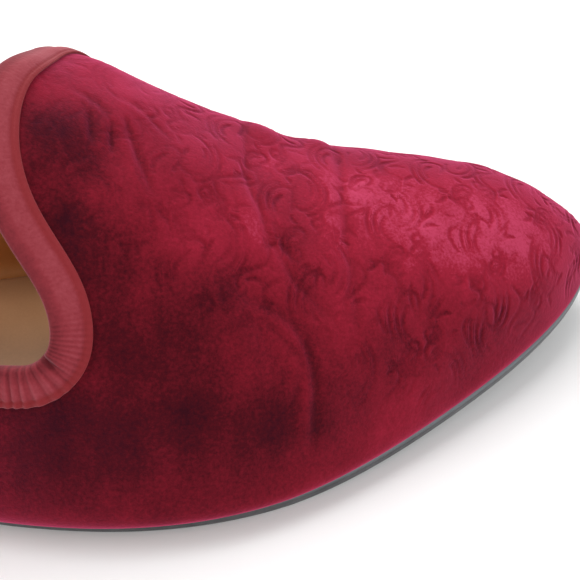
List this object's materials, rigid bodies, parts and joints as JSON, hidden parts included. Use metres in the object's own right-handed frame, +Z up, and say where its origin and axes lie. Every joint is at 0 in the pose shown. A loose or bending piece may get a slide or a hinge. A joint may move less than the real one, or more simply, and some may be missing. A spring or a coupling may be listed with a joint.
{
  "type": "velvet slip-on loafer, right shoe",
  "caption": "Low slip-on loafer with an embossed crimson velvet upper, ribbon-bound topline, tan leather insole, thin dark sole and low heel.",
  "frame": {"origin": "middle of the shoe's bounding box, on the floor", "axes": "+X from heel to toe, +Y to the medial side, +Z up"},
  "size_m": [0.3046, 0.1086, 0.0813],
  "materials": {
    "velvet": "embossed velvet pile",
    "ribbon": "ribbed grosgrain",
    "sole_rubber": "satin",
    "heel_rubber": "satin",
    "insole_leather": "smooth, matt"
  },
  "bodies": {
    "root": {"upper": "velvet", "topline_binding": "ribbon", "outsole": "sole_rubber", "heel": "heel_rubber", "insole": "insole_leather"}
  },
  "joints": []
}
